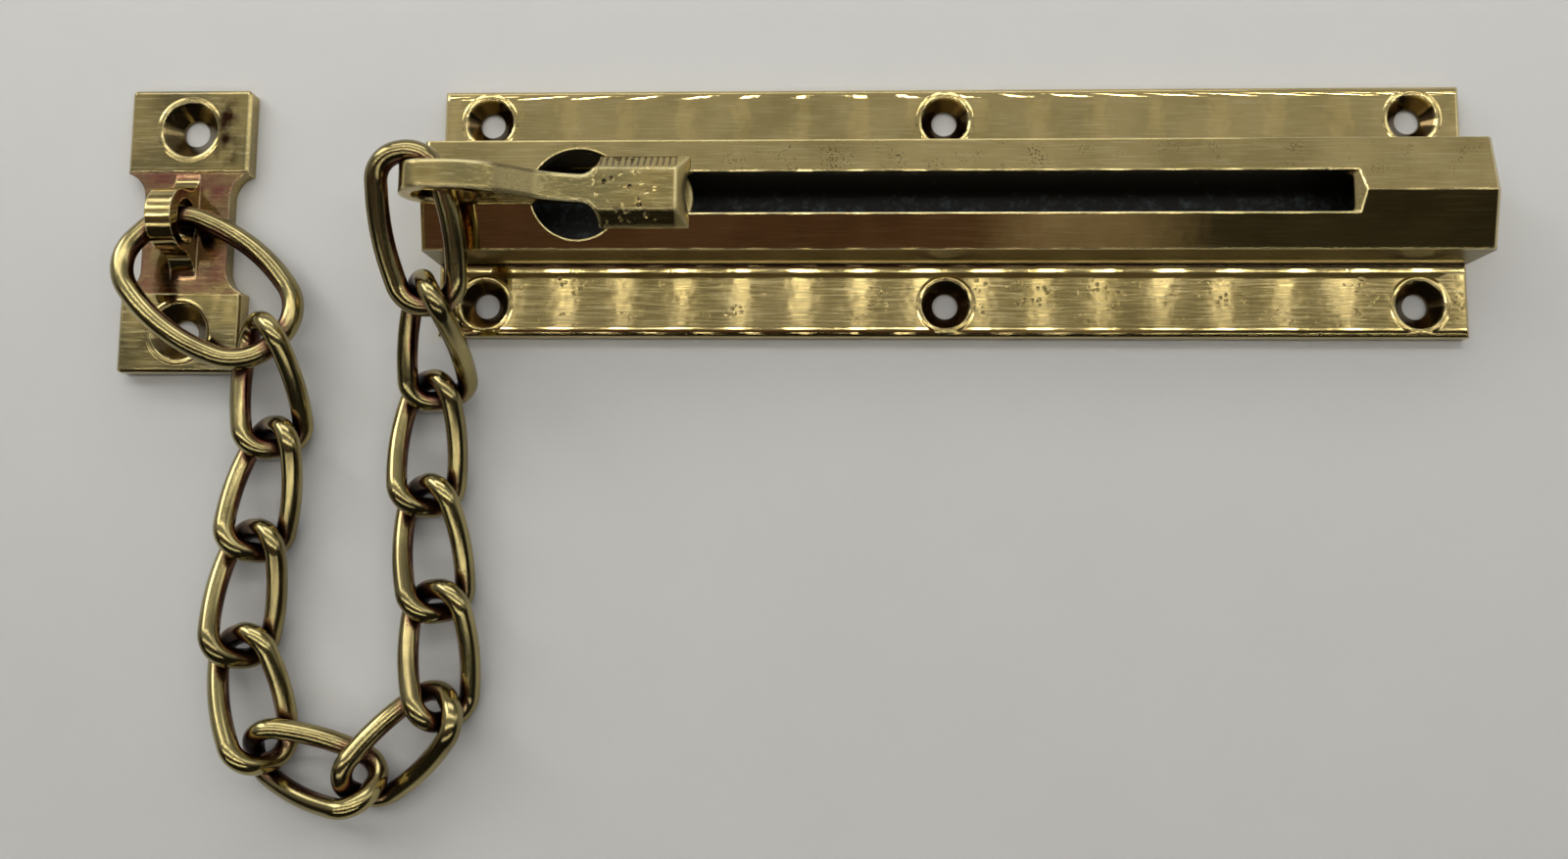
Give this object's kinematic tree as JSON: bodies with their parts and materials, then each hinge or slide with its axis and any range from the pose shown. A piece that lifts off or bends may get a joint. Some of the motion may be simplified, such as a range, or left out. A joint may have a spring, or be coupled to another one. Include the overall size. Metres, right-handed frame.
{
  "type": "door chain",
  "caption": "Brass door chain: slotted keyhole track with a sliding tongue, a twisted curb chain, an oval ring and a waisted staple plate with a pierced lug.",
  "frame": {"origin": "middle of the track's back face", "axes": "+X along the track towards the closed end of the slot, +Y across it away from the chain, +Z out of the door"},
  "size_m": [0.235, 0.1267, 0.0265],
  "materials": {
    "track_brass": "old cast brass, hand buffed, browned in the hollows",
    "chain_brass": "drawn brass wire, polished, browned inside the loops",
    "dark_sheet": "blackened, slightly glossy"
  },
  "bodies": {
    "track": {"track": "track_brass", "back_sheet": "dark_sheet"},
    "slider": {"slider": "track_brass"},
    "end_link": {"end_link": "chain_brass"},
    "link_10": {"link_10": "chain_brass"},
    "link_09": {"link_09": "chain_brass"},
    "link_08": {"link_08": "chain_brass"},
    "link_07": {"link_07": "chain_brass"},
    "link_06": {"link_06": "chain_brass"},
    "link_05": {"link_05": "chain_brass"},
    "link_04": {"link_04": "chain_brass"},
    "link_03": {"link_03": "chain_brass"},
    "link_02": {"link_02": "chain_brass"},
    "link_01": {"link_01": "chain_brass"},
    "staple_ring": {"staple_ring": "chain_brass"},
    "staple_plate": {"staple_plate": "track_brass"}
  },
  "joints": [
    {"name": "slider_slide", "type": "slide", "parent": "track", "child": "slider", "axis": [1, 0, 0], "range_m": [-0.0114, 0.111]},
    {"name": "end_link_swing", "type": "hinge", "parent": "slider", "child": "end_link", "pos_m": [-0.08525, 0, 0.0214], "axis": [0, 0, 1], "range_deg": [-18, 1.5]},
    {"name": "link_10_swing", "type": "hinge", "parent": "end_link", "child": "link_10", "pos_m": [-0.08752, -0.01556, 0.0161], "axis": [0, 0, -1], "range_deg": [-8, 18]},
    {"name": "link_09_swing", "type": "hinge", "parent": "link_10", "child": "link_09", "pos_m": [-0.0894, -0.03207, 0.00768], "axis": [0, 0, 1], "range_deg": [-12, 8]},
    {"name": "link_08_swing", "type": "hinge", "parent": "link_09", "child": "link_08", "pos_m": [-0.08921, -0.05035, 0.00474], "axis": [0, 0, -1], "range_deg": [-20, 20]},
    {"name": "link_07_swing", "type": "hinge", "parent": "link_08", "child": "link_07", "pos_m": [-0.08669, -0.06828, 0.00498], "axis": [0, 0, 1], "range_deg": [-20, 18]},
    {"name": "link_06_swing", "type": "hinge", "parent": "link_07", "child": "link_06", "pos_m": [-0.0851, -0.0853, 0.00544], "axis": [0, 0, -1], "range_deg": [-22, 4]},
    {"name": "link_05_swing", "type": "hinge", "parent": "link_06", "child": "link_05", "pos_m": [-0.09809, -0.09886, 0.00547], "axis": [0, 0, 1], "range_deg": [-5.49, 53.42]},
    {"name": "link_04_swing", "type": "hinge", "parent": "link_05", "child": "link_04", "pos_m": [-0.11436, -0.09458, 0.00532], "axis": [0, 0, 1], "range_deg": [-10, 22]},
    {"name": "link_03_swing", "type": "hinge", "parent": "link_04", "child": "link_03", "pos_m": [-0.12033, -0.0762, 0.00513], "axis": [0, 0, -1], "range_deg": [-20, 13]},
    {"name": "link_02_swing", "type": "hinge", "parent": "link_03", "child": "link_02", "pos_m": [-0.11907, -0.05818, 0.00477], "axis": [0, 0, 1], "range_deg": [-20, 20]},
    {"name": "link_01_swing", "type": "hinge", "parent": "link_02", "child": "link_01", "pos_m": [-0.11654, -0.04034, 0.00529], "axis": [0, 0, -1], "range_deg": [-18, 18]},
    {"name": "staple_ring_swing", "type": "hinge", "parent": "link_01", "child": "staple_ring", "pos_m": [-0.11627, -0.0234, 0.00598], "axis": [0, 0, 1], "range_deg": [-18, 10]},
    {"name": "staple_plate_swing", "type": "hinge", "parent": "staple_ring", "child": "staple_plate", "pos_m": [-0.13407, -0.00444, 0.007], "axis": [0, 0, -1], "range_deg": [-1.5, 7]}
  ],
  "couplings": [
    {"joint": "link_05_swing", "follows": "slider_slide", "rad_per_m": 8.4}
  ]
}
